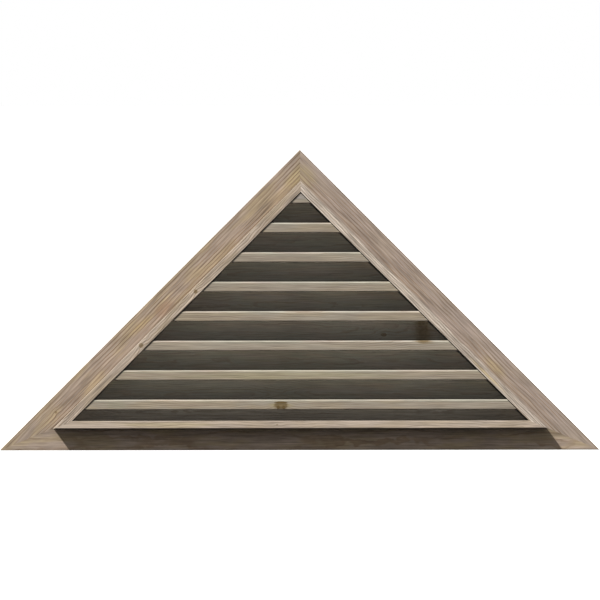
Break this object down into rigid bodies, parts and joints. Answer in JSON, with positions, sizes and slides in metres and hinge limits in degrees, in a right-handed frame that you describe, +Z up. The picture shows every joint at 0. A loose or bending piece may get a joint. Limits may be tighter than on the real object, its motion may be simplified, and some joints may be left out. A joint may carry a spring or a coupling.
{
  "type": "gable vent",
  "caption": "Triangular louvred gable vent in bare weathered pine: flat mitred casing, projecting box frame, sloping slats housed in the rakes, wire cloth behind.",
  "frame": {"origin": "middle of the casing's lower edge, on the face of the wall that the casing lies against", "axes": "+X to the right seen from outside the building, +Y into the wall, +Z up"},
  "size_m": [1.524, 0.116, 0.762],
  "materials": {
    "rake_casing_pine": "bare weathered board, grain along the rake",
    "bottom_casing_pine": "bare weathered board, grain along its length",
    "frame_pine": "bare weathered board, a little paler than the casing",
    "slat_pine": "bare weathered board with a few knots",
    "support_pine": "bare pine, kept from the weather",
    "galvanised_wire": "dull galvanised wire",
    "nail_steel": "bright flat wire"
  },
  "bodies": {
    "root": {"left_rake_casing": "rake_casing_pine", "right_rake_casing": "rake_casing_pine", "bottom_casing": "bottom_casing_pine", "left_jamb": "frame_pine", "right_jamb": "frame_pine", "sill": "frame_pine", "sill_slat": "slat_pine", "centre_support": "support_pine", "bird_screen": "galvanised_wire", "screen_staples": "galvanised_wire", "frame_nails": "nail_steel", "slat_nails": "nail_steel", "support_nails": "nail_steel", "casing_nails": "nail_steel", "slat_1": "slat_pine", "slat_2": "slat_pine", "slat_3": "slat_pine", "slat_4": "slat_pine", "slat_5": "slat_pine", "slat_6": "slat_pine", "slat_7": "slat_pine", "slat_8": "slat_pine"}
  },
  "joints": []
}
